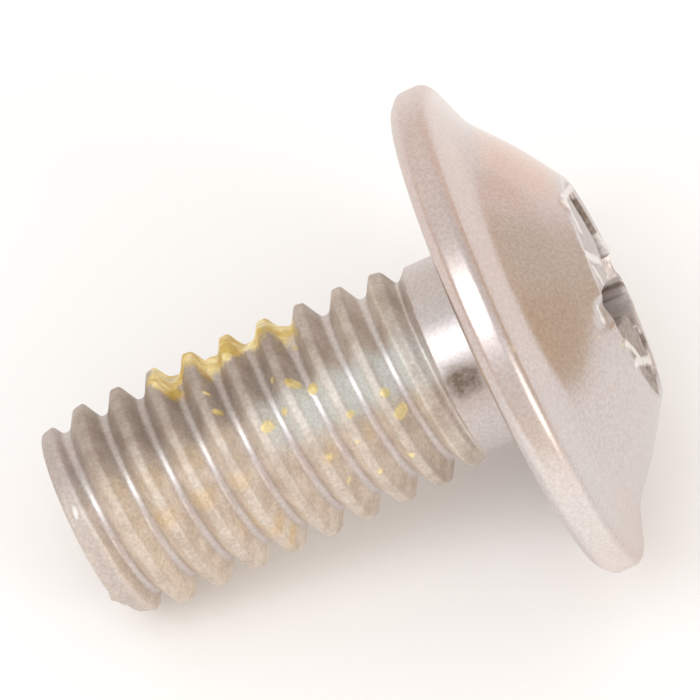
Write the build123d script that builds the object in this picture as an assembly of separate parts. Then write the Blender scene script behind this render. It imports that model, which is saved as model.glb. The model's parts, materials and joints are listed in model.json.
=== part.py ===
from build123d import *
import math
import os

# Sizes are in millimetres, angles in degrees.
# The screw is drawn upright, with the flange's seat at height 0, then laid down as it rests.

# shank and thread, metric coarse size M4
shank_length = 7.8
thread_diameter = 3.84
thread_root_diameter = 3.14
thread_pitch = 0.7
crest_width = 0.15
flank_angle = 30.0
thread_turn = 155.3

# plain neck left by rolling, and how the crests and roots fade into it
neck_diameter = 3.52
neck_length = 0.92
crest_runout = 0.73
root_runout = 0.20
neck_fillet = 0.20

# blunt end
end_diameter = 3.44
lead_in_length = 0.80
end_chamfer = 0.07

# flange
flange_diameter = 9.02
seat_edge_round = 0.42
rim_height = 0.66
rim_top_round = 0.09
flange_foot_diameter = 7.30
flange_foot_height = 0.985
flange_foot_round = 0.55

# cone and crown
cone_bulge = 0.055
crown_diameter = 4.12
crown_edge_height = 2.18
crown_edge_round = 0.12
head_height = 2.32

# cross recess, driver size 2
recess_diameter = 3.90
wing_width = 0.68
wing_draft = 2.9
wing_slant = 26.5
recess_core_diameter = 1.80
core_draft = 5.0
recess_depth = 1.95
recess_turn = 41.8

# how far pieces reach into each other where they join, and how far cuts stand clear
sink = 0.03
clear = 0.25

crest_radius = thread_diameter / 2
root_radius = thread_root_diameter / 2
neck_radius = neck_diameter / 2
end_radius = end_diameter / 2
flange_radius = flange_diameter / 2

# A rod threaded from end to end, one turn of ruled strips at a time.
flank_run = (crest_radius - root_radius) * math.tan(math.radians(flank_angle))
half_crest = crest_width / 2
strip_edges = [
    (crest_radius, -half_crest),
    (crest_radius, half_crest),
    (root_radius, half_crest + flank_run),
    (root_radius, thread_pitch - half_crest - flank_run),
    (crest_radius, thread_pitch - half_crest),
]
rod_turns = math.ceil(shank_length / thread_pitch) + 2
rod_bottom = (1 - rod_turns) * thread_pitch - half_crest


def turn_edge(radius, height):
    curve = Helix(pitch=thread_pitch, height=thread_pitch, radius=radius, center=(0, 0, height))
    return curve.edge()


def rod_end(height):
    axis_edge = Line((0, 0, height), (0, 0, height + thread_pitch)).edge()
    floor = Face.make_surface_from_curves(turn_edge(crest_radius, height), axis_edge)
    corners = [(0, 0, height)]
    corners += [(radius, 0, height + half_crest + rise) for radius, rise in strip_edges]
    corners += [(0, 0, height + thread_pitch)]
    step = make_face(Polyline(*corners, close=True)).face()
    return [floor, step]


edges = [turn_edge(radius, rod_bottom + half_crest + rise) for radius, rise in strip_edges]
strips = [Face.make_surface_from_curves(low, high) for low, high in zip(edges[:-1], edges[1:])]
rod_faces = []
for turn in range(rod_turns):
    rod_faces += [strip.moved(Location((0, 0, turn * thread_pitch))) for strip in strips]
rod_faces += rod_end(rod_bottom)
rod_faces += rod_end(rod_bottom + rod_turns * thread_pitch)
rod = Solid(Shell(Face.sew_faces(rod_faces)[0]))
rod = rod.rotate(Axis.Z, thread_turn)

# The rod is turned down to a blunt end with a tapered lead-in, and its crests fade at the neck.
lead_in_slope = (crest_radius - end_radius) / (lead_in_length - end_chamfer)
runout_slope = (crest_radius - neck_radius) / crest_runout
thread_form = Plane.XZ * make_face(
    Polyline(
        (0, -shank_length),
        (end_radius - end_chamfer, -shank_length),
        (end_radius, -shank_length + end_chamfer),
        (crest_radius + clear, -shank_length + lead_in_length + clear / lead_in_slope),
        (crest_radius + clear, -neck_length - crest_runout - clear / runout_slope),
        (neck_radius - sink, -neck_length + sink / runout_slope),
        (0, -neck_length + sink / runout_slope),
        close=True,
    )
)
shank = rod & revolve(thread_form, axis=Axis.Z)

# neck, flange, cone and crown in one turned profile
cone = SagittaArc(
    (flange_foot_diameter / 2, flange_foot_height),
    (crown_diameter / 2, crown_edge_height),
    -cone_bulge,
)
crown_drop = head_height - crown_edge_height
crown_ball = ((crown_diameter / 2) ** 2 + crown_drop**2) / (2 * crown_drop)
crown = RadiusArc((crown_diameter / 2, crown_edge_height), (0, head_height), -crown_ball)
outline = Polyline(
    (0, head_height),
    (0, -neck_length - root_runout),
    (root_radius - sink, -neck_length - root_runout),
    (neck_radius, -neck_length),
    (neck_radius, 0),
    (flange_radius, 0),
    (flange_radius, rim_height),
    (flange_foot_diameter / 2, flange_foot_height),
)
section = make_face(outline + cone + crown)


def rounded(shape, radius_at, height_at, radius):
    corner = shape.vertices().sort_by_distance((radius_at, height_at))[0]
    return fillet(corner, radius)


section = rounded(section, neck_radius, 0, neck_fillet)
section = rounded(section, flange_radius, 0, seat_edge_round)
section = rounded(section, flange_radius, rim_height, rim_top_round)
section = rounded(section, flange_foot_diameter / 2, flange_foot_height, flange_foot_round)
section = rounded(section, crown_diameter / 2, crown_edge_height, crown_edge_round)
head = revolve(Plane.XZ * section, axis=Axis.Z)

# Cross recess: two crossed tapering slots and a round core with a pointed floor.
recess_top = head_height + clear
recess_floor = head_height - recess_depth
slant = math.tan(math.radians(wing_slant))
draft = math.tan(math.radians(wing_draft))
core_slope = math.tan(math.radians(core_draft))


def slot_section(height):
    above_rim = height - crown_edge_height
    length = recess_diameter + 2 * slant * above_rim
    width = wing_width + 2 * draft * above_rim
    return Plane.XY.offset(height) * Rectangle(length, width)


def core_section(height):
    radius = recess_core_diameter / 2 + core_slope * (height - crown_edge_height)
    return Plane.XY.offset(height) * Circle(radius)


slot = loft([slot_section(recess_floor), slot_section(recess_top)])
core = loft([core_section(recess_floor), core_section(recess_top)])
core_floor = recess_core_diameter / 2 - core_slope * (crown_edge_height - recess_floor)
core_point = Cone(0.0, core_floor, core_floor * 0.3, align=(Align.CENTER, Align.CENTER, Align.MAX))
recess = slot + slot.rotate(Axis.Z, 90) + core + core_point.moved(Location((0, 0, recess_floor)))
recess = recess.rotate(Axis.Z, recess_turn)

screw = shank + head - recess

# Lay the screw down on its flange's rim and blunt end, its middle over the origin.
touch_run = shank_length - end_chamfer + seat_edge_round
touch_rise = flange_radius - seat_edge_round - end_radius
rest_angle = math.degrees(
    math.atan2(touch_rise, touch_run)
    + math.asin(seat_edge_round / math.hypot(touch_run, touch_rise))
)
screw = screw.rotate(Axis.Y, 90 - rest_angle)
box = screw.bounding_box()
shift = Location((-box.center().X, -box.center().Y, -box.min.Z))
screw = screw.moved(shift)

os.makedirs("parts", exist_ok=True)
export_step(screw, "parts/screw.step")
print("size", [round(edge, 3) for edge in box.size], "rest angle", round(rest_angle, 2))
for name, height in (("seat", 0), ("thread end", -shank_length), ("crown", head_height)):
    place = Vector(0, 0, height).rotate(Axis.Y, 90 - rest_angle) + shift.position
    print(name, "centre", [round(value, 4) for value in place])
print("volume", round(screw.volume, 3), "one solid", len(screw.solids()) == 1, "sound", screw.is_valid)
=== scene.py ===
import json
import math

import bmesh
import bpy
import numpy as np
from mathutils import Matrix


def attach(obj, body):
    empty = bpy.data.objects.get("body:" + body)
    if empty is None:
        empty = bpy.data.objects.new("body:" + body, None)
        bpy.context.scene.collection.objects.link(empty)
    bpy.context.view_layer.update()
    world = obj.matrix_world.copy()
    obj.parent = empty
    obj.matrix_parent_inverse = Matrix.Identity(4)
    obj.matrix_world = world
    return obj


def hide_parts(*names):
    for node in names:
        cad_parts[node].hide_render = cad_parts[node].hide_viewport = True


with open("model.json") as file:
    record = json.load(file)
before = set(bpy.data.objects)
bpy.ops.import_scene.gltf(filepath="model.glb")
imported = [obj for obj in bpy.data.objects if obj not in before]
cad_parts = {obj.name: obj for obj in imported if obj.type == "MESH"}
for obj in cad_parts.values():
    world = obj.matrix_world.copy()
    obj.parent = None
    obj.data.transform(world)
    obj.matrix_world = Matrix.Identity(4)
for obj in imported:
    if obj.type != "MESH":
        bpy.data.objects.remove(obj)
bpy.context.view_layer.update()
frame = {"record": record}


# Shank and thread.
# The shank of a cold-formed steel machine screw, M4 x 0.7 by 8 mm. Its thread is rolled between dies,
# so it stands above the plain neck that is left of the wire, with rounded crests and roots.
# All sizes are in millimetres, on the screw's own axis: height 0 is the flange's seat, up is the head.
shank_length = 7.8
crest_radius = 1.92
root_radius = 1.57
neck_radius = 1.76
pitch = 0.70
crest_width = 0.15
flank_angle = math.radians(30)
crest_blend, root_blend = 0.04, 0.08
thread_turn = math.radians(155.3)
neck_length = 0.92
crest_runout = 0.73
root_runout = 0.20
end_radius = 1.72
end_chamfer = 0.07
lead_in_length = 0.80
recess_turn = math.radians(41.8)
# The crust of thread coating: its middle, along the axis and round it in degrees, how far from there it
# is full and where it ends, each way, and its thickness over the crests and over the roots.
coating_height, coating_reach = -4.35, (1.15, 1.65)
coating_turn, coating_spread = 116.0, (28, 46)
crest_crust, root_crust = 0.06, 0.17
columns = 256
turns = np.linspace(0.0, 1.0, columns + 1)
angles = recess_turn + 2 * np.pi * turns


def soft_min(a, b, blend):
    """The smaller of two values, with the corner between them rounded over a width of blend."""
    share = np.clip(0.5 + 0.5 * (b - a) / blend, 0.0, 1.0)
    return b + (a - b) * share - blend * share * (1 - share)


def soft_max(a, b, blend):
    """The larger of two values, rounded in the same way."""
    return -soft_min(-a, -b, blend)


def bump(value, middle, inner, outer):
    """1 within a distance of middle, 0 beyond a greater one, and a smooth slope between."""
    share = np.clip((outer - np.abs(value - middle)) / (outer - inner), 0, 1)
    return share * share * (3 - 2 * share)


def around(angle, degrees):
    """How far an angle is round the axis from a place given in degrees, from -180 to 180."""
    return (np.degrees(angle) - degrees + 180) % 360 - 180


def coating_share(height, angle):
    """Where a crust of yellow thread coating is left: a stretch of one side with wavy edges, and
    with a thickness that comes and goes along and round it as the product of two waves."""
    turn = around(angle, coating_turn) + 5 * np.sin(4.7 * height) + 4 * np.sin(11 * height + 1)
    lumps = 0.75 + 0.25 * np.sin(9.4 * height + 0.09 * turn) * np.cos(0.11 * turn - 5.1 * height)
    return bump(height, coating_height, *coating_reach) * bump(turn, 0, *coating_spread) * lumps


def off_crest(height, angle):
    """Distance along the axis from the nearest turn of the crest, which climbs one pitch a turn."""
    climb = pitch * (angle - thread_turn) / (2 * np.pi)
    return np.abs((height - climb + pitch / 2) % pitch - pitch / 2)


def shank_radius(height, angle):
    """Distance from the axis of the threaded shank: a ridge with 60 degrees between its flanks, held
    under the lead-in's cone at the blunt end and under the cone where the rolling dies lift off, and
    filled up by the crust."""
    off = off_crest(height, angle)
    flank = crest_radius - (off - crest_width / 2) / math.tan(flank_angle)
    lead_in_slope = (crest_radius - end_radius) / (lead_in_length - end_chamfer)
    lead_in = end_radius + (height + shank_length - end_chamfer) * lead_in_slope
    fade = neck_radius + (-neck_length - height) * (crest_radius - neck_radius) / crest_runout
    crest = soft_min(flank, crest_radius, crest_blend)
    crest = soft_min(crest, np.minimum(lead_in, fade), 0.05)
    root = root_radius + (height + neck_length + root_runout) * (neck_radius - root_radius) / root_runout
    ground = soft_max(root, root_radius, crest_blend)
    radius = soft_max(crest, ground, root_blend)
    thick = coating_share(height, angle)
    over, under = radius + crest_crust * thick, root_radius + root_crust * thick
    radius = soft_max(over, under, 0.001 + 0.10 * thick)
    return np.where(height > -neck_length - 1e-9, neck_radius, np.minimum(radius, fade))


def threaded_rows():
    """Rows that climb with the thread: each keeps its place on the ridge's form round the whole turn,
    and is held between the blunt end and the neck, where rows that reach past an edge close up on it."""
    form = np.array([0, 0.03, 0.055, 0.08, 0.105, 0.14, 0.18, 0.225, 0.26, 0.29, 0.32])
    form = np.concatenate([form, [pitch / 2], pitch - form[:0:-1]])
    count = math.ceil(shank_length / pitch) + 2
    start = -math.ceil((shank_length + pitch) / pitch) * pitch
    low, high = -shank_length + end_chamfer, -neck_length
    lift = pitch * (thread_turn / (2 * np.pi) % 1.0)
    base = (start + pitch * np.arange(-2, count)[:, None] + form[None, :]).ravel() - lift
    heights = base[:, None] + pitch * angles[None, :] / (2 * np.pi)
    keep = (heights.max(1) > low) & (heights.min(1) < high)
    first, last = np.nonzero(keep)[0][[0, -1]]
    heights = np.clip(heights[max(first - 1, 0) : last + 2], low, high)
    radius = shank_radius(heights, angles[None, :])
    return np.stack([radius * np.cos(angles), radius * np.sin(angles), heights], -1)


def end_rows():
    """The blunt end: rings from its middle out to the edge, which is rounded by a quarter turn and
    follows whatever the thread does there."""
    edge = shank_radius(np.full(columns + 1, -shank_length + end_chamfer), angles)
    bend = np.radians([0, 20, 45, 70])[:, None]
    flat = np.array([0.0, 0.04, 0.3, 0.6, 0.85, 0.96])[:, None] * (edge - end_chamfer)
    curl = edge - end_chamfer + end_chamfer * np.sin(bend)
    radius = np.concatenate([flat, curl])
    height = np.concatenate([0 * flat, end_chamfer * (1 - np.cos(bend)) + 0 * curl]) - shank_length
    return np.stack([radius * np.cos(angles), radius * np.sin(angles), height], -1)


# Head.
# Neck, flange and cone of the same piece, upset in a die: a flat seat with a rounded lower edge, a
# crisp upper rim, a thin flange that thickens into a hollow foot, then a cone with a domed crown.
head_corners = np.array(
    [
        (1.76, -0.92),
        (1.76, 0.0),
        (4.30, 0.0),
        (4.505, 0.20),
        (4.51, 0.66),
        (3.65, 0.985),
        (2.888, 1.627),
        (2.06, 2.18),
        (1.40, 2.256),
        (0.70, 2.304),
        (0.0, 2.320),
    ]
)
head_rounds = [0, 0.20, 0.26, 0.16, 0.22, 1.15, 6.0, 0.12, 4.0, 4.0, 0]
head_steps = [0, 6, 7, 7, 7, 8, 8, 7, 4, 4, 0]
shoulder_reach = 2.60


def rounded_path(corners, rounds, steps):
    """A path of straight runs whose corners are turned into arcs: each arc starts and ends at a
    distance of its radius times the tangent of half the turn from the corner."""
    points = [corners[0]]
    for before, corner, after, radius, count in zip(
        corners[:-2], corners[1:-1], corners[2:], rounds[1:-1], steps[1:-1]
    ):
        back = (before - corner) / np.linalg.norm(before - corner)
        on = (after - corner) / np.linalg.norm(after - corner)
        half = math.acos(np.clip(back @ on, -1, 1)) / 2
        reach = radius / math.tan(half)
        middle = corner + (back + on) / np.linalg.norm(back + on) * radius / math.sin(half)
        start, end = corner + back * reach - middle, corner + on * reach - middle
        spread = math.pi - 2 * half
        share = np.linspace(0, 1, count)[:, None]
        arc = (np.sin((1 - share) * spread) * start + np.sin(share * spread) * end) / math.sin(spread)
        points.extend(middle + arc)
    points.append(corners[-1])
    return np.array(points)


head_path = rounded_path(head_corners, head_rounds, head_steps)


def with_rows_between(path, gap):
    """The same path with more points on its long runs, closer together near their ends."""
    rows = [path[:1]]
    for start, end in zip(path[:-1], path[1:]):
        length = np.linalg.norm(end - start)
        count = max(1, math.ceil(length / gap))
        share = 0.5 - 0.5 * np.cos(np.pi * np.arange(1, count + 1) / count)
        rows.append(start + (end - start) * share[:, None])
    return np.concatenate(rows)


def head_height(radius):
    """Height of the cone and crown at a distance from the axis."""
    top = head_path[head_path[:, 1] > 0.9]
    return np.interp(radius, top[::-1, 0], top[::-1, 1])


def head_rows():
    """Neck, seat, rim, flange and cone as a turned form, up to where the recess starts to matter."""
    path = with_rows_between(head_path, 0.25)
    cut = np.nonzero((path[:, 1] > 0.9) & (path[:, 0] < shoulder_reach))[0][0]
    start = [(neck_radius, -neck_length + 0.015), (neck_radius, -neck_length + 0.05)]
    path = np.concatenate([start, path[1:cut], [(shoulder_reach, head_height(shoulder_reach))]])
    radius, height = path[:, :1], path[:, 1:]
    return np.stack([radius * np.cos(angles), radius * np.sin(angles), height + 0 * angles], -1)


# Recess.
# Cross recess for a size 2 driver, punched into the crown while the head was formed. Its four wings
# slope outwards, two of them up to the crown's shoulder, and the punch has left its upper edge soft.
wing_reach = np.array([2.02, 1.78, 2.04, 1.78])
wing_half = 0.34
core_radius = 0.90
recess_level = 2.18
recess_floor = 0.37
wing_slant = math.tan(math.radians(26.5))
wing_draft = math.tan(math.radians(2.9))
core_draft = math.tan(math.radians(5.0))
edge_round = 0.06
tip_share, side_share = 0.22, 0.62


def recess_outline(height):
    """Plan of the recess at a height for each column: across a wing's end, along its side and round
    the core, folded four times round the axis. Its corners are rounded by averaging each point with
    its neighbours, twice."""
    column = np.arange(columns)
    quarter = columns // 4
    inside = column % quarter
    far = inside > quarter // 2
    q = np.where(far, quarter - inside, inside) / (quarter / 2)
    wing = (column // quarter + far) * np.pi / 2
    side = np.where(far, -1.0, 1.0)
    above = height - recess_level
    reach = wing_reach[(column // quarter + far) % 4] + wing_slant * above
    half = wing_half + wing_draft * above
    core = core_radius + core_draft * above
    joint = np.sqrt(core**2 - half**2)
    swing = np.arcsin(half / core)
    along = np.clip((q - tip_share) / (side_share - tip_share), 0, 1)
    round_core = swing + (np.pi / 4 - swing) * np.clip((q - side_share) / (1 - side_share), 0, 1)
    x = np.where(q > side_share, core * np.cos(round_core), reach + (joint - reach) * along)
    y = np.where(q > side_share, core * np.sin(round_core), half * np.clip(q / tip_share, 0, 1))
    turned = recess_turn + wing
    y = side * y
    across = x * np.cos(turned) - y * np.sin(turned)
    aside = x * np.sin(turned) + y * np.cos(turned)
    flat = np.stack([across, aside], -1)
    for _ in range(2):
        flat = (np.roll(flat, 1, -2) + 2 * flat + np.roll(flat, -1, -2)) / 4
    return flat


def crown_and_recess_rows():
    """Rings close in from the cone over the shoulder, giving way to the wings' ends, then run to the
    recess's rounded edge, down its drafted walls to the floor, and in to the core's point."""
    level = np.full(columns, recess_level)
    for _ in range(3):
        edge = recess_outline(level[None, :])[0]
        level = head_height(np.linalg.norm(edge, axis=-1)) - edge_round
    ahead = np.roll(edge, -1, 0) - np.roll(edge, 1, 0)
    outward = np.stack([ahead[:, 1], -ahead[:, 0]], -1) / np.linalg.norm(ahead, axis=-1)[:, None]
    lip = edge + outward * edge_round
    lip_radius = np.linalg.norm(lip, axis=-1)
    direction = np.stack([np.cos(angles[:-1]), np.sin(angles[:-1])], -1)
    rings = np.array([2.5, 2.4, 2.3, 2.22, 2.17, 2.13, 2.10, 2.075, 2.055, 2.035, 2.01, 1.98, 1.94])
    margin = np.linspace(0.10, 0.035, len(rings))
    ring_radius = np.maximum(rings[:, None], lip_radius[None, :] + margin[:, None])
    ring = ring_radius[..., None] * direction
    share = 1 - (1 - np.linspace(0, 1, 17)[1:, None, None]) ** 1.5
    inwards = ring[-1] + (lip - ring[-1]) * share
    crown = np.concatenate([ring, inwards])
    crown_height = head_height(np.linalg.norm(crown, axis=-1))
    bend = np.radians([22, 45, 68, 90])[:, None, None]
    curl = edge + outward * edge_round * (1 - np.sin(bend))
    curl_height = head_height(np.linalg.norm(curl, axis=-1)) - edge_round * (1 - np.cos(bend[..., 0]))
    curl_height[-1] = level
    down = np.array([0.03, 0.1, 0.2, 0.35, 0.5, 0.65, 0.8, 0.93, 1.0])[:, None]
    wall_height = level + (recess_floor - level) * down
    wall = recess_outline(wall_height)
    inner = np.array([0.97, 0.9, 0.75, 0.5, 0.25, 0.08, 0.0])[:, None, None]
    floor = wall[-1] * inner
    core_floor = core_radius + core_draft * (recess_floor - recess_level)
    floor_height = recess_floor - 0.3 * np.clip(core_floor - np.linalg.norm(floor, axis=-1), 0, None)
    flat = np.concatenate([crown, curl, wall, floor])
    height = np.concatenate([crown_height, curl_height, wall_height, floor_height])
    rows = np.concatenate([flat, height[..., None]], -1)
    return np.concatenate([rows, rows[:, :1]], 1)


# Wear and small faults.
# What forming and use have left: a flange that is bent up a little on one side, a blunt end cut a
# little off square with a spur on its edge, and burrs and notches where a driver has slipped.
bent_side, bend_start, bend_lift = 302.0, 2.4, 0.05
slanted_side, slant_middle, slant_drop = 122.0, 0.013, 0.045
spur_turn, spur_height = 267.0, 0.05
drop_height = 0.035
flange_radius = 4.5
# Each burr is a stroke between two places, each a turn in degrees and a distance from the axis,
# with its width and its height. The burrs are also painted bright, partly as painted highlights.
burrs = np.array(
    [
        (112, 1.86, 155, 2.08, 0.08, 0.02),
        (160, 2.08, 174, 1.82, 0.10, 0.03),
        (104, 0.93, 74, 0.93, 0.12, 0.03),
        (74, 0.95, 46, 1.95, 0.11, 0.03),
        (192, 1.98, 189, 1.27, 0.11, 0.03),
        (199, 1.90, 206, 1.74, 0.09, 0.03),
        (217, 2.24, 224, 2.22, 0.06, 0.0),
        (240, 2.02, 257, 1.77, 0.10, 0.03),
        (252, 2.04, 300, 1.42, 0.09, 0.03),
    ]
)
# Dark marks in the wings and beside them, in the same way but with no height, and a painted dark
# reflection on the neck: height, turn, radius and strength.
wing_dark_marks = np.array(
    [
        (118, 1.55, 108, 1.05, 0.13, 0.0),
        (274, 1.66, 294, 1.78, 0.16, 0.0),
        (330, 1.20, 304, 1.66, 0.13, 0.0),
        (31, 1.80, 12, 1.25, 0.12, 0.0),
    ]
)
neck_dark_reflection = [(-0.60, 225, 0.27, 1.4)]
notches = np.array([(218, 2.12, 223, 2.20, 0.12, 0.06), (39, 2.10, 43, 2.10, 0.12, 0.05)])


def strokes(radius, angle, marks):
    """How much each point of the crown belongs to a set of strokes: 1 on a stroke's line, falling to
    0 at one and a half times its width from it. Gives the greatest share, and the sum of the shares,
    smoothed, times the heights."""
    share, lift = np.zeros_like(radius), np.zeros_like(radius)
    place = np.stack([radius * np.cos(angle), radius * np.sin(angle)], -1)
    for turn_a, reach_a, turn_b, reach_b, width, height in marks:
        angle_a, angle_b = math.radians(turn_a), math.radians(turn_b)
        start = reach_a * np.array([math.cos(angle_a), math.sin(angle_a)])
        run = reach_b * np.array([math.cos(angle_b), math.sin(angle_b)]) - start
        along = np.clip((place - start) @ run / (run @ run), 0, 1)
        away = np.linalg.norm(place - start - along[..., None] * run, axis=-1)
        here = np.clip(1.5 - away / width, 0, 1)
        share = np.maximum(share, here)
        lift += height * here * here * (3 - 2 * here)
    return share, lift


# Drops of the coating on the side that faces up: height, turn round the axis in degrees, radius, and
# how thick the yellow is. Then thinner smears of it, which lie mostly on the crests and are partly
# painted warm highlights.
drops = [
    (-3.98, 204, 0.105, 1.0),
    (-3.29, 188, 0.095, 1.0),
    (-3.04, 193, 0.080, 1.0),
    (-3.62, 199, 0.070, 0.8),
    (-1.81, 226, 0.110, 1.0),
    (-1.90, 213, 0.085, 0.9),
    (-4.69, 184, 0.070, 0.8),
    (-4.75, 172, 0.060, 0.8),
    (-1.97, 250, 0.075, 0.8),
    (-2.60, 216, 0.065, 0.7),
    (-2.57, 251, 0.070, 0.8),
    (-3.62, 180, 0.060, 0.7),
    (-3.14, 252, 0.060, 0.7),
    (-2.67, 230, 0.060, 0.7),
    (-3.22, 232, 0.070, 0.6),
]
smears_and_highlights = [
    (-6.15, 203, 0.22, 0.5),
    (-5.37, 201, 0.24, 0.5),
    (-5.49, 225, 0.19, 1.0),
    (-4.80, 224, 0.17, 0.9),
    (-6.78, 200, 0.22, 0.4),
    (-4.71, 197, 0.17, 0.4),
    (-5.54, 184, 0.17, 0.6),
    (-6.24, 226, 0.20, 0.9),
    (-5.00, 255, 0.18, 0.7),
    (-4.51, 278, 0.16, 1.0),
    (-4.61, 260, 0.16, 1.0),
    (-3.22, 232, 0.14, 0.7),
    (-2.40, 230, 0.14, 0.6),
]


def spots(height, angle, radius, places):
    """How much each point belongs to a set of round spots: a spot's strength up to half its radius
    from its middle, measured along the surface, falling to 0 at one and a half times its radius."""
    share = np.zeros_like(height)
    for middle, degrees, size, strength in places:
        away = np.hypot(np.radians(around(angle, degrees)) * radius, height - middle)
        share = np.maximum(share, strength * np.clip(1.5 - away / size, 0, 1))
    return share


def worn(rows):
    """The same rows of points, moved by the small faults above."""
    across, aside, height = rows[..., 0], rows[..., 1], rows[..., 2]
    radius, angle = np.hypot(across, aside), np.arctan2(aside, across)
    bent = np.clip(np.cos(angle - math.radians(bent_side)), 0, 1)
    bent *= np.clip((radius - bend_start) / (flange_radius - bend_start), 0, 1) ** 2
    slant = slant_drop * np.cos(angle - math.radians(slanted_side)) * np.clip(radius / 1.7, 0, 1)
    slant = (slant_middle - slant) * np.clip((-7.0 - height) / 0.7, 0, 1)
    crumbs = 0.7 + 0.3 * np.sin(23 * across + 9 * np.sin(11 * aside)) * np.sin(19 * aside)
    top = np.clip((height - 1.7) / 0.35, 0, 1)
    rise = strokes(radius, angle, burrs)[1] * crumbs - strokes(radius, angle, notches)[1]
    spur = spur_height * bump(around(angle, spur_turn), 0, 1, 7)
    spur *= bump(height, -shank_length + end_chamfer, 0.04, 0.12) * np.clip((radius - 1.5) / 0.1, 0, 1)
    lump = drop_height * spots(height, angle, radius, drops)
    lump *= (height < -neck_length) * (radius > 1.5)
    moved = rows.copy()
    moved[..., :2] *= (1 + (spur + lump) / np.maximum(radius, 0.1))[..., None]
    moved[..., 2] = height + bend_lift * bent + slant + rise * top - spur
    return moved


# The screw as one skin.
# The four stretches above join into one closed surface, and the screw is laid down as it rests: on its
# flange's rim and its blunt end, with the axis rising towards the head. Points that lie nearer to each
# other than the distance called touching, in metres, become one.
seat = next(mount for mount in frame["record"]["mounts"] if mount["name"] == "seat")
seat_centre = np.array(seat["pos_m"]) * 1000
axis_way = -np.array(seat["axis"]) / np.linalg.norm(seat["axis"])
side_way = np.array([0.0, 1.0, 0.0])
down_way = np.cross(side_way, axis_way)
touching = 2e-8


def laid_down(points):
    """The screw's own millimetres turned into the shared frame's metres."""
    turned = points[..., :1] * down_way + points[..., 1:2] * side_way + points[..., 2:] * axis_way
    return (turned + seat_centre) / 1000


def skin(name, rows):
    """A closed mesh over rows of points that run round the axis: four neighbours make a face, and
    points that fall together, at the seam, the poles and where rows close up, are joined."""
    count, across = rows.shape[:2]
    corner = np.arange(count * across).reshape(count, across)
    faces = np.stack([corner[:-1, :-1], corner[:-1, 1:], corner[1:, 1:], corner[1:, :-1]], -1)
    faces = faces.reshape(-1, 4)
    mesh = bpy.data.meshes.new(name)
    mesh.from_pydata(laid_down(rows).reshape(-1, 3), [], faces)
    work = bmesh.new()
    work.from_mesh(mesh)
    bmesh.ops.remove_doubles(work, verts=work.verts, dist=touching)
    work.to_mesh(mesh)
    work.free()
    mesh.validate()
    mesh.shade_smooth()
    piece = bpy.data.objects.new(name, mesh)
    bpy.context.collection.objects.link(piece)
    return piece


rows = np.concatenate([end_rows(), threaded_rows(), head_rows(), crown_and_recess_rows()])
screw = skin("screw_body", worn(rows))
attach(screw, "root")
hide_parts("screw")


def linear(hex_colour):
    """An sRGB colour written as six hex digits, as the linear colour that a socket takes."""
    parts = np.array([int(hex_colour[i : i + 2], 16) for i in (0, 2, 4)]) / 255
    parts = np.where(parts <= 0.04045, parts / 12.92, ((parts + 0.055) / 1.055) ** 2.4)
    return [*parts.tolist(), 1.0]


def add(tree, kind, settings=None, give=0, **links):
    """Adds a node and gives one of its outputs, the first unless another is asked for. Settings are
    its properties, and links are its inputs, each a value or a socket, by name or, with an i before
    it, by number."""
    node = tree.nodes.new(kind)
    for key, value in (settings or {}).items():
        setattr(node, key, value)
    for key, value in links.items():
        numbered = key[0] == "i" and key[1:].isdigit()
        socket = node.inputs[int(key[1:]) if numbered else key.replace("_", " ")]
        if isinstance(value, bpy.types.NodeSocket):
            tree.links.new(value, socket)
        else:
            socket.default_value = value
    return node.outputs[give]


mark_names = ["film", "thread_shade", "blue_highlight", "pink_reflection", "coating", "smear_and_highlight", "wear_and_glint", "rim_reflection", "dark_marks_and_shade", "dull"]
# Where the marks lie: turns round the axis in degrees, and heights and radii in millimetres.
blue_highlight_height, blue_highlight_turn = -2.5, 204
glint_height, glint_turn = -7.6, 203.5
tip_height = -7.3
rim_reflection_turn = 262
pink_reflection_turn, warm_reflection_top, warm_reflection_low = 138, 130, 310
darker_crown_turn = 252
rim_start = 4.3


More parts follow.
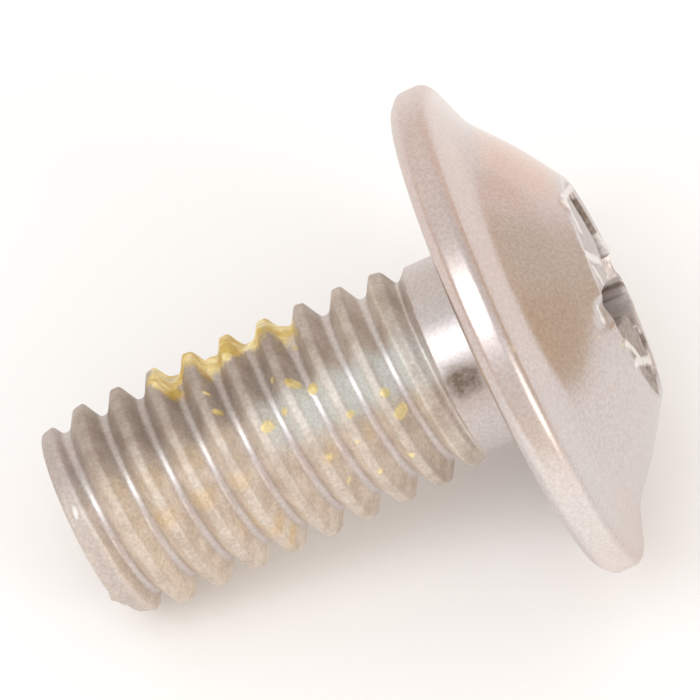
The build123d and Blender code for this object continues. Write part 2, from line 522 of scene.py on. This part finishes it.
def marks(piece):
    """Values for each point, from its place on the screw: the film of old coating that covers the
    thread down to a clean line in its roots, painted shade that darkens it on the thread's upper
    side, a painted blue highlight in the roots and a painted pink reflection on the cone and flange,
    the thread coating as a crust and drops, and as thin smears that are partly painted warm
    highlights, bright wear on burrs with painted highlights and a painted highlight on the blunt
    end's edge, a painted bright reflection on the rim, painted shade in the recess, dark marks by
    the wings and on the crown and a painted dark reflection on the neck, and how dull the shank and
    the rim are."""
    count = len(piece.data.vertices)
    flat = np.empty(count * 3)
    piece.data.vertices.foreach_get("co", flat)
    place = flat.reshape(-1, 3) * 1000 - seat_centre
    across, aside, height = place @ down_way, place @ side_way, place @ axis_way
    radius, angle = np.hypot(across, aside), np.arctan2(aside, across)
    on_shank = np.clip((0.1 - height) / 0.15, 0, 1) * (radius < 2.2)
    on_thread = np.clip((-0.85 - height) / 0.25, 0, 1) * on_shank
    off = off_crest(height, angle)
    clean = bump(off, pitch / 2, 0.05, 0.11) * on_thread
    crest = np.clip(1.5 - off / 0.09, 0, 1) * on_thread
    # Painted shade: the film is darker on the thread's upper side, less so towards the head and the tip,
    # and a little darker on its crests.
    thread_shade = 0.9 * bump(around(angle, coating_turn), 0, 60, 95)
    thread_shade *= 1 - 0.55 * np.clip((height + 3.6) / 1.6, 0, 1)
    thread_shade *= 1 - 0.15 * np.clip(-6.3 - height, 0, 1)
    thread_shade += (1 - thread_shade) * 0.3 * crest
    film = (1 - 0.85 * clean * (1 - 0.7 * thread_shade)) * on_thread
    film *= 0.4 + 0.6 * np.clip((height + shank_length - 0.35) / 0.4, 0, 1)
    # Painted highlight: a pale blue patch in the roots partway along the thread, on its lit side, weaker
    # on the crests.
    blue_highlight = bump(height, blue_highlight_height, 1.1, 2.0) * bump(around(angle, blue_highlight_turn), 0, 8, 22)
    blue_highlight *= 1 - 0.7 * crest
    below = head_height(radius) - height
    # Wear on the burrs of the crown, painted bright as painted highlights, and a painted highlight on
    # the edge of the blunt end.
    wear_and_glint = strokes(radius, angle, burrs)[0] * (height > 1.7) * np.clip(1.6 - below / 0.1, 0, 1)
    end_glint = np.hypot(np.radians(around(angle, glint_turn)) * radius / 3, height - glint_height)
    wear_and_glint = np.maximum(wear_and_glint, np.clip(1.5 - end_glint / 0.05, 0, 1))
    # Painted reflection: a brighter patch on the rim's side, low on its near side.
    rim_reflection = 0.5 * bump(around(angle, rim_reflection_turn), 0, 20, 45) * np.clip((radius - 4.38) / 0.08, 0, 1)
    rim_reflection *= np.clip((0.70 - height) / 0.08, 0, 1)
    # Painted reflection: a pink tint on the cone's upper side, and a weaker one on the flange, broad on
    # its upper side and narrow on its lower side.
    pink_reflection = bump(around(angle, pink_reflection_turn), 0, 12, 42) * bump(radius, 2.8, 0.3, 0.9) * (height > 0.7)
    warm_reflection = bump(around(angle, warm_reflection_top), 0, 60, 120)
    warm_reflection = np.maximum(warm_reflection, bump(around(angle, warm_reflection_low), 0, 20, 50))
    pink_reflection = np.maximum(pink_reflection, 0.38 * warm_reflection * np.clip((radius - 3.3) / 0.4, 0, 1))
    # Painted shade: darker inside the recess. The crown is also darker within its shoulder, more so on
    # one side, with dark marks along the wings and a painted dark reflection on the neck.
    inside = np.clip((below - 0.02) / 0.05, 0, 1)
    darker_crown = bump(around(angle, darker_crown_turn), 0, 34, 50) * np.clip((2.08 - radius) / 0.05, 0, 1)
    darker_crown = np.maximum(darker_crown, 0.4 * np.clip((2.0 - radius) / 0.1, 0, 1))
    dark_marks_and_shade = np.maximum(0.3 * inside, 0.75 * darker_crown) * (radius < 2.3) * (height > 0.2)
    dark_marks_and_shade = np.maximum(dark_marks_and_shade, strokes(radius, angle, wing_dark_marks)[0] * (height > 1.2))
    dark_marks_and_shade = np.maximum(dark_marks_and_shade, spots(height, angle, radius, neck_dark_reflection) * on_shank)
    dull = 0.45 * on_shank + on_thread * (0.5 - 0.4 * clean)
    dull = np.maximum(dull, 0.31 * np.clip((radius - rim_start) / 0.1, 0, 1))
    coating = np.maximum(coating_share(height, angle), spots(height, angle, radius, drops)) * on_thread
    # Thin smears of coating that are partly painted warm highlights, kept off the painted shade, and a
    # faint yellowish band towards the blunt end.
    smear_and_highlight = spots(height, angle, radius, smears_and_highlights) * on_thread
    smear_and_highlight = np.maximum(smear_and_highlight, 0.12 * bump(height, tip_height, 0.6, 2.4) * on_thread) * (1 - thread_shade)
    values = [film, thread_shade, blue_highlight, pink_reflection, coating, smear_and_highlight, wear_and_glint, rim_reflection, dark_marks_and_shade, dull]
    for name, value in zip(mark_names, values):
        layer = piece.data.attributes.new(name, "FLOAT", "POINT")
        layer.data.foreach_set("value", value.astype(np.float32))


marks(screw)

# Nickel plating on cold-formed steel: bright, slightly warm, softened by fine scuffs from handling.
# A brown film of old coating dulls the thread's crests and flanks and leaves thin bright roots, and
# the lumps and drops of it that are left are clear yellow. Both are painted darker on the thread's
# upper side as painted shade.
plating = bpy.data.materials.new("nickel_plated_steel")
plating.use_nodes = True
tree = plating.node_tree
shader = tree.nodes["Principled BSDF"]
place = add(tree, "ShaderNodeTexCoord", give="Object")
film, thread_shade, blue_highlight, pink_reflection, coating, smear_and_highlight, wear_and_glint, rim_reflection, dark_marks_and_shade, dull = [
    add(tree, "ShaderNodeAttribute", {"attribute_name": name}, "Fac") for name in mark_names
]
colour = {"data_type": "RGBA"}
darker = {"data_type": "RGBA", "blend_type": "MULTIPLY"}
times = {"operation": "MULTIPLY"}
times_plus = {"operation": "MULTIPLY_ADD"}
smaller = {"operation": "MINIMUM"}
larger = {"operation": "MAXIMUM"}

# Clouds about 1 mm across, blotches about 0.4 mm, crumbs about 0.1 mm and grain about 0.06 mm. The
# real grain is finer than that and is drawn as coarse as it needs to show.
cloud = add(tree, "ShaderNodeTexNoise", Vector=place, Scale=1000.0, Detail=4.0, Roughness=0.6)
blotch = add(tree, "ShaderNodeTexNoise", Vector=place, Scale=2500.0, Detail=2.0)
grain = add(tree, "ShaderNodeTexNoise", Vector=place, Scale=16000.0, Detail=3.0, Roughness=0.6)
crumb = add(tree, "ShaderNodeTexNoise", Vector=place, Scale=9000.0, Detail=2.0)

# The bare plating, with its tints, a painted pink reflection and a painted bright reflection on
# the rim.
plate = add(tree, "ShaderNodeMix", colour, 2, i0=cloud, i6=linear("CFC9CA"), i7=linear("D6CCC8"))
# The painted pink reflection.
pink_reflection_share = add(tree, "ShaderNodeMath", times, i0=pink_reflection, i1=0.6)
plate = add(tree, "ShaderNodeMix", colour, 2, i0=pink_reflection_share, i6=plate, i7=linear("E2BDA8"))
# The painted bright reflection on the rim.
plate = add(tree, "ShaderNodeMix", colour, 2, i0=rim_reflection, i6=plate, i7=linear("F6F0EC"))

# The film over it, painted darker on the upper side as painted shade and with a painted blue
# highlight in its roots, then smears of coating that are partly painted warm highlights, and lumps
# of coating, with ragged edges.
brown = add(tree, "ShaderNodeMix", colour, 2, i0=thread_shade, i6=linear("F0E6D9"), i7=linear("B0A297"))
mottle = add(tree, "ShaderNodeMapRange", i0=blotch, i1=0.4, i2=0.62, i3=0.0, i4=0.5)
brown = add(tree, "ShaderNodeMix", darker, 2, i0=mottle, i6=brown, i7=linear("D6CCC2"))
# The painted blue highlight.
blue_highlight_share = add(tree, "ShaderNodeMath", times, i0=blue_highlight, i1=0.7)
brown = add(tree, "ShaderNodeMix", colour, 2, i0=blue_highlight_share, i6=brown, i7=linear("ECF5F5"))
# Smears of coating and painted warm highlights.
smeared_and_lit = add(tree, "ShaderNodeMapRange", i0=crumb, i1=0.3, i2=0.7, i3=0.6, i4=1.0)
smeared_and_lit = add(tree, "ShaderNodeMath", times, i0=smeared_and_lit, i1=smear_and_highlight)
brown = add(tree, "ShaderNodeMix", colour, 2, i0=smeared_and_lit, i6=brown, i7=linear("EBD2A8"))
covered = add(tree, "ShaderNodeMath", times, i0=film, i1=0.92)
filmed = add(tree, "ShaderNodeMix", colour, 2, i0=covered, i6=plate, i7=brown)
coat = add(tree, "ShaderNodeMath", times_plus, i0=crumb, i1=0.4, i2=coating)
coat = add(tree, "ShaderNodeMath", times_plus, i0=blotch, i1=1.3, i2=coat)
coat = add(tree, "ShaderNodeMapRange", i0=coat, i1=1.15, i2=1.50)
yellow = add(tree, "ShaderNodeMapRange", i0=blotch, i1=0.38, i2=0.62)
# Painted shade: the coating's yellow is darker on the thread's upper side, a little less where it is
# thickest.
yellow_shade = add(tree, "ShaderNodeMath", times_plus, i0=thread_shade, i1=0.85, i2=0.05)
thinned = add(tree, "ShaderNodeMapRange", i0=coating, i1=0.95, i2=1.2, i3=1.0, i4=0.15)
yellow_shade = add(tree, "ShaderNodeMath", times, i0=yellow_shade, i1=thinned)
yellow = add(tree, "ShaderNodeMath", times, i0=yellow, i1=yellow_shade)
yellow = add(tree, "ShaderNodeMix", colour, 2, i0=yellow, i6=linear("FFF0B8"), i7=linear("CBA739"))
coated = add(tree, "ShaderNodeMix", colour, 2, i0=coat, i6=filmed, i7=yellow)

# Dark marks, painted shade in the recess and a painted dark reflection on the neck, grain, and
# wear that has left crumbs of bright metal, partly painted highlights.
# Dark marks, painted shade in the recess and a painted dark reflection on the neck.
darkened = add(tree, "ShaderNodeMapRange", i0=crumb, i1=0.35, i2=0.65, i3=0.55, i4=1.1)
darkened = add(tree, "ShaderNodeMath", times, i0=darkened, i1=dark_marks_and_shade)
darkened_colour = add(tree, "ShaderNodeMix", colour, 2, i0=darkened, i6=coated, i7=linear("8A7A6C"))
depth = add(tree, "ShaderNodeMath", times_plus, i0=film, i1=0.08, i2=0.3)
speckle = add(tree, "ShaderNodeMapRange", i0=grain, i1=0.35, i2=0.65, i3=0.0, i4=depth)
grained = add(tree, "ShaderNodeMix", darker, 2, i0=speckle, i6=darkened_colour, i7=linear("BBB2AB"))
# Crumbs of bright metal where the wear and the painted highlights lie.
wear_and_glint_share = add(tree, "ShaderNodeMath", times_plus, i0=crumb, i1=1.2, i2=wear_and_glint)
wear_and_glint_share = add(tree, "ShaderNodeMapRange", i0=wear_and_glint_share, i1=1.0, i2=1.5, i3=0.0, i4=0.8)
finished = add(tree, "ShaderNodeMix", colour, 2, i0=wear_and_glint_share, i6=grained, i7=linear("F6F5F3"))
tree.links.new(finished, shader.inputs["Base Color"])

film_bare = add(tree, "ShaderNodeMapRange", i0=film, i3=1.0, i4=0.5)
smeared_and_lit_bare = add(tree, "ShaderNodeMapRange", i0=smeared_and_lit, i3=1.0, i4=0.25)
coat_bare = add(tree, "ShaderNodeMapRange", i0=coat, i3=1.0, i4=0.2)
darkened_bare = add(tree, "ShaderNodeMapRange", i0=darkened, i3=1.0, i4=0.3)
wear_and_glint_bare = add(tree, "ShaderNodeMapRange", i0=wear_and_glint_share, i3=1.0, i4=0.5)
bare = film_bare
for covered_bare in (smeared_and_lit_bare, coat_bare, darkened_bare, wear_and_glint_bare):
    bare = add(tree, "ShaderNodeMath", smaller, i0=bare, i1=covered_bare)
tree.links.new(bare, shader.inputs["Metallic"])
soft = add(tree, "ShaderNodeMath", larger, i0=dull, i1=dark_marks_and_shade)
rough = add(tree, "ShaderNodeMapRange", i0=soft, i3=0.20, i4=0.60)
rough = add(tree, "ShaderNodeMath", times_plus, i0=wear_and_glint, i1=0.15, i2=rough)
rough = add(tree, "ShaderNodeMath", times_plus, i0=darkened, i1=0.2, i2=rough)
tree.links.new(rough, shader.inputs["Roughness"])
relief = add(tree, "ShaderNodeBump", Strength=0.3, Distance=0.000004, Height=grain)
tree.links.new(relief, shader.inputs["Normal"])
screw.data.materials.append(plating)


# Floor and light.
# A plain white table top under soft light: a pale room, warmer near the table, a large softbox that
# the bright metal mirrors, high on the camera's left, and a weaker one on its right. Sizes here are in
# metres, and half is half of the floor's side.
half = 0.4
card_glow = 0.04
lamp_distance = 0.4
floor_mesh = bpy.data.meshes.new("floor")
floor_corners = [(-half, -half, 0), (half, -half, 0), (half, half, 0), (-half, half, 0)]
floor_mesh.from_pydata(floor_corners, [], [(0, 1, 2, 3)])
floor = bpy.data.objects.new("floor", floor_mesh)
bpy.context.collection.objects.link(floor)

# White card: matt, with a faint even glow for the camera and for mirrors, so that it stays white there.
paper = bpy.data.materials.new("white_card")
paper.use_nodes = True
tree = paper.node_tree
shader = tree.nodes["Principled BSDF"]
shader.inputs["Base Color"].default_value = linear("F6F5F4")
shader.inputs["Roughness"].default_value = 0.9
shader.inputs["Emission Color"].default_value = linear("FFFFFF")
camera_ray = add(tree, "ShaderNodeLightPath", give="Is Camera Ray")
glossy_ray = add(tree, "ShaderNodeLightPath", give="Is Glossy Ray")
glass_ray = add(tree, "ShaderNodeLightPath", give="Is Transmission Ray")
seen = add(tree, "ShaderNodeMath", larger, i0=camera_ray, i1=glossy_ray)
seen = add(tree, "ShaderNodeMath", larger, i0=seen, i1=glass_ray)
glow = add(tree, "ShaderNodeMath", times, i0=seen, i1=card_glow)
tree.links.new(glow, shader.inputs["Emission Strength"])
floor.data.materials.append(paper)

world = bpy.data.worlds.new("studio")
bpy.context.scene.world = world
world.use_nodes = True
tree = world.node_tree
background = tree.nodes["Background"]
way = add(tree, "ShaderNodeTexCoord", give="Generated")
height = add(tree, "ShaderNodeSeparateXYZ", give="Z", Vector=way)
low = add(tree, "ShaderNodeMapRange", i0=height, i1=0.05, i2=0.40)
room = add(tree, "ShaderNodeMix", colour, 2, i0=low, i6=linear("F3DBC9"), i7=linear("F3EBE4"))
high = add(tree, "ShaderNodeMapRange", i0=height, i1=0.50, i2=0.75)
room = add(tree, "ShaderNodeMix", colour, 2, i0=high, i6=room, i7=linear("ECECEC"))

# Soft round patches of other colours in the room, each centred on a direction: full inside one angle
# and gone outside another, both in degrees.
patches = [
    ((-0.28, 0.85, 0.45), 15, 40, "FFFAF4"),
    ((0.75, 0.60, 0.05), 28, 48, "FFEDE3"),
    ((0.93, 0.22, 0.25), 16, 25, "EADCCB"),
    ((0.983, -0.05, 0.18), 10, 18, "E3CDB3"),
]
projected = {"operation": "DOT_PRODUCT"}
for direction, inner, outer, tone in patches:
    direction = np.array(direction) / np.linalg.norm(direction)
    toward = add(tree, "ShaderNodeVectorMath", projected, "Value", i0=way, i1=direction)
    near, far = math.cos(math.radians(inner)), math.cos(math.radians(outer))
    share = add(tree, "ShaderNodeMapRange", i0=toward, i1=far, i2=near)
    room = add(tree, "ShaderNodeMix", colour, 2, i0=share, i6=room, i7=linear(tone))
camera_ray = add(tree, "ShaderNodeLightPath", give="Is Camera Ray")
shown = add(tree, "ShaderNodeMix", colour, 2, i0=camera_ray, i6=room, i7=linear("FFFFFF"))
tree.links.new(shown, background.inputs["Color"])
background.inputs["Strength"].default_value = 1.0


def softbox(name, direction, length, width, brightness, colour):
    """A lamp that faces the screw, with its length along the screw's axis. Its power is its brightness
    times its area, an ellipse's, times pi, so that a mirror shows it as that many times as bright as
    a white room."""
    lamp = bpy.data.lights.new(name, "AREA")
    lamp.shape = "ELLIPSE"
    lamp.size, lamp.size_y = length, width
    lamp.energy = brightness * length * width * math.pi**2 / 4
    lamp.color = linear(colour)[:3]
    piece = bpy.data.objects.new(name, lamp)
    bpy.context.collection.objects.link(piece)
    back = np.array(direction) / np.linalg.norm(direction)
    long_way = axis_way - (axis_way @ back) * back
    long_way /= np.linalg.norm(long_way)
    cross_way = np.cross(back, long_way)
    place = back * lamp_distance
    piece.matrix_world = Matrix(
        [[long_way[i], cross_way[i], back[i], place[i]] for i in range(3)] + [[0, 0, 0, 1]]
    )


softbox("key_softbox", (-0.435, -0.233, 0.878), 0.34, 0.21, 2.8, "F4FAFF")
softbox("side_softbox", (0.517, -0.69, 0.50), 0.24, 0.24, 2.0, "FFFAF4")


# Camera.
# The photograph's view: from the upper front, level with the horizon, far off with a long lens. The
# seat's centre falls on the same pixel as in the photograph, and a millimetre is as many pixels long.
view_azimuth, view_elevation = math.radians(-16.94), math.radians(57.23)
back = np.array(
    [
        math.sin(view_azimuth) * math.cos(view_elevation),
        -math.cos(view_azimuth) * math.cos(view_elevation),
        math.sin(view_elevation),
    ]
)
right = np.cross([0, 0, 1], back)
right /= np.linalg.norm(right)
above = np.cross(back, right)
picture_size = 700
seat_pixel_x, seat_pixel_y = 496.4, 338.7
pixels_per_mm = 58.5
distance = 180.0
aside = (picture_size / 2 - seat_pixel_x) / pixels_per_mm
lift = (seat_pixel_y - picture_size / 2) / pixels_per_mm
aim = seat_centre + right * aside + above * lift
lens = bpy.data.cameras.new("camera")
camera = bpy.data.objects.new("camera", lens)
bpy.context.collection.objects.link(camera)
bpy.context.scene.camera = camera
lens.sensor_width = 36.0
lens.lens = lens.sensor_width * distance * pixels_per_mm / picture_size
lens.clip_start, lens.clip_end = 0.01, 5.0
where = (aim + back * distance) / 1000
camera.matrix_world = Matrix(
    [[right[i], above[i], back[i], where[i]] for i in range(3)] + [[0, 0, 0, 1]]
)

bpy.context.scene.view_settings.view_transform = "Standard"
